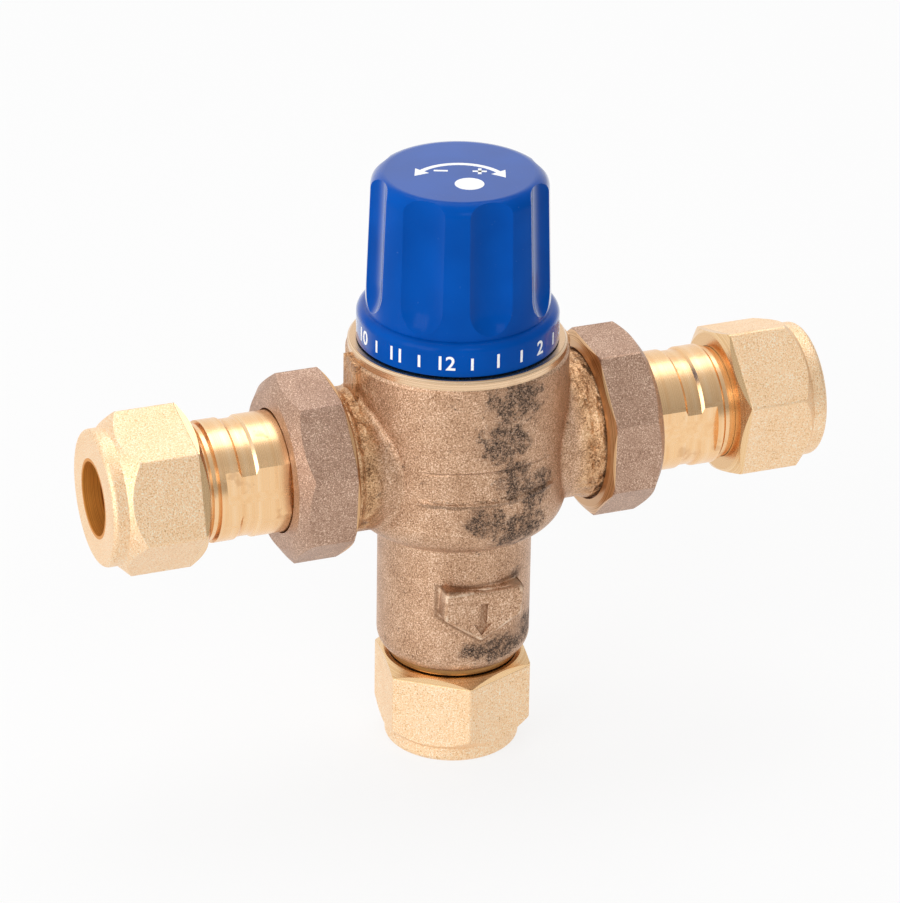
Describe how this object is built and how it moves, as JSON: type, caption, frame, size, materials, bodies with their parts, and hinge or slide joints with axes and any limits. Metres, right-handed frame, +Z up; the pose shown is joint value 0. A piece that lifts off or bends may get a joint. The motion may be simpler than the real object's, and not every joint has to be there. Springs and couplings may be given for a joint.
{
  "type": "mixing valve",
  "caption": "Bronze mixing valve with opposed union inlets, a bottom compression outlet and a fluted adjusting cap over a wax element and shuttle.",
  "frame": {"origin": "centre of the outlet nut's bottom face, on the valve's vertical axis", "axes": "+Z up along the valve's vertical axis to the cap, +X out along the cold inlet arm, -Y the front with the flow plaque"},
  "size_m": [0.1316, 0.0386, 0.1084],
  "materials": {
    "cast_bronze": "sand cast, grainy, with dark stains",
    "union_bronze": "shot blasted, matt",
    "nut_brass": "fine blasted, pale gold",
    "turned_brass": "turned and bright",
    "copper": "bright copper alloy",
    "spring_steel": "drawn stainless",
    "seal_rubber": "smooth black",
    "fibre": "red fibre sheet",
    "moulded_white": "moulded acetal",
    "blue_plastic": "glossy moulded blue"
  },
  "bodies": {
    "body": {"valve_body": "cast_bronze", "bonnet": "turned_brass", "bonnet_seal": "seal_rubber", "hot_seat": "turned_brass", "cold_seat": "turned_brass", "return_spring": "spring_steel", "hot_strainer": "spring_steel", "cold_strainer": "spring_steel", "hot_union_washer": "fibre", "cold_union_washer": "fibre"},
    "cap": {"adjusting_cap": "blue_plastic", "spindle": "turned_brass", "spindle_seal_lower": "seal_rubber", "spindle_seal_upper": "seal_rubber", "spindle_circlip": "spring_steel"},
    "carrier": {"overtravel_carrier": "turned_brass", "carrier_clip": "spring_steel", "overtravel_spring": "spring_steel"},
    "button": {"overtravel_button": "turned_brass", "push_pin": "spring_steel"},
    "mixing_shuttle": {"shuttle": "moulded_white", "shuttle_seal": "seal_rubber", "wax_element": "copper"},
    "hot_tail": {"hot_inlet_tail": "turned_brass", "hot_check_housing": "moulded_white", "hot_check_seal": "seal_rubber", "hot_check_guide": "moulded_white", "hot_check_spring": "spring_steel"},
    "hot_poppet": {"hot_check_poppet": "moulded_white"},
    "hot_union": {"hot_union_nut": "union_bronze"},
    "cold_tail": {"cold_inlet_tail": "turned_brass", "cold_check_housing": "moulded_white", "cold_check_seal": "seal_rubber", "cold_check_guide": "moulded_white", "cold_check_spring": "spring_steel"},
    "cold_poppet": {"cold_check_poppet": "moulded_white"},
    "cold_union": {"cold_union_nut": "union_bronze"},
    "hot_ring": {"hot_olive": "copper"},
    "hot_nut": {"hot_compression_nut": "nut_brass"},
    "cold_ring": {"cold_olive": "copper"},
    "cold_nut": {"cold_compression_nut": "nut_brass"},
    "outlet_ring": {"outlet_olive": "copper"},
    "outlet_nut": {"outlet_compression_nut": "nut_brass"}
  },
  "joints": [
    {"name": "cap_turn", "type": "hinge", "parent": "body", "child": "cap", "pos_m": [0, 0, 0.088], "axis": [0, 0, 1], "range_deg": [-270, 270]},
    {"name": "carrier_slide", "type": "slide", "parent": "body", "child": "carrier", "axis": [0, 0, 1], "range_m": [-0.00075, 0.00075]},
    {"name": "overtravel_slide", "type": "slide", "parent": "carrier", "child": "button", "axis": [0, 0, 1], "range_m": [0, 0.002], "stiffness_N_per_m": 4000, "deforming": ["overtravel_spring"]},
    {"name": "shuttle_slide", "type": "slide", "parent": "body", "child": "mixing_shuttle", "axis": [0, 0, 1], "range_m": [-0.00075, 0.00075], "stiffness_N_per_m": 3000, "deforming": ["return_spring"]},
    {"name": "hot_tail_slide", "type": "slide", "parent": "body", "child": "hot_tail", "axis": [-1, 0, 0], "range_m": [0, 0.00363]},
    {"name": "hot_union_turn", "type": "hinge", "parent": "hot_tail", "child": "hot_union", "pos_m": [-0.02825, 0, 0.0574], "axis": [-1, 0, 0], "range_deg": [0, 720]},
    {"name": "hot_poppet_slide", "type": "slide", "parent": "hot_tail", "child": "hot_poppet", "axis": [1, 0, 0], "range_m": [0, 0.0035], "stiffness_N_per_m": 80, "deforming": ["hot_check_spring"]},
    {"name": "cold_tail_slide", "type": "slide", "parent": "body", "child": "cold_tail", "axis": [1, 0, 0], "range_m": [0, 0.00363]},
    {"name": "cold_union_turn", "type": "hinge", "parent": "cold_tail", "child": "cold_union", "pos_m": [0.02825, 0, 0.0574], "axis": [1, 0, 0], "range_deg": [0, 720]},
    {"name": "cold_poppet_slide", "type": "slide", "parent": "cold_tail", "child": "cold_poppet", "axis": [-1, 0, 0], "range_m": [0, 0.0035], "stiffness_N_per_m": 80, "deforming": ["cold_check_spring"]},
    {"name": "hot_olive_slide", "type": "slide", "parent": "hot_tail", "child": "hot_ring", "axis": [-1, 0, 0], "range_m": [0, 0.00544]},
    {"name": "hot_nut_turn", "type": "hinge", "parent": "hot_ring", "child": "hot_nut", "pos_m": [-0.05725, 0, 0.0574], "axis": [-1, 0, 0], "range_deg": [0, 1080]},
    {"name": "cold_olive_slide", "type": "slide", "parent": "cold_tail", "child": "cold_ring", "axis": [1, 0, 0], "range_m": [0, 0.00544]},
    {"name": "cold_nut_turn", "type": "hinge", "parent": "cold_ring", "child": "cold_nut", "pos_m": [0.05725, 0, 0.0574], "axis": [1, 0, 0], "range_deg": [0, 1080]},
    {"name": "outlet_olive_slide", "type": "slide", "parent": "body", "child": "outlet_ring", "axis": [0, 0, -1], "range_m": [0, 0.00544]},
    {"name": "outlet_nut_turn", "type": "hinge", "parent": "outlet_ring", "child": "outlet_nut", "pos_m": [0, 0, 0.0085], "axis": [0, 0, -1], "range_deg": [0, 1080]}
  ],
  "couplings": [
    {"joint": "cap_turn", "follows": "carrier_slide", "rad_per_m": -6283.2},
    {"joint": "hot_union_turn", "follows": "hot_tail_slide", "rad_per_m": 3463.7},
    {"joint": "cold_union_turn", "follows": "cold_tail_slide", "rad_per_m": 3463.7},
    {"joint": "hot_nut_turn", "follows": "hot_olive_slide", "rad_per_m": 3463.7},
    {"joint": "cold_nut_turn", "follows": "cold_olive_slide", "rad_per_m": 3463.7},
    {"joint": "outlet_nut_turn", "follows": "outlet_olive_slide", "rad_per_m": 3463.7}
  ]
}
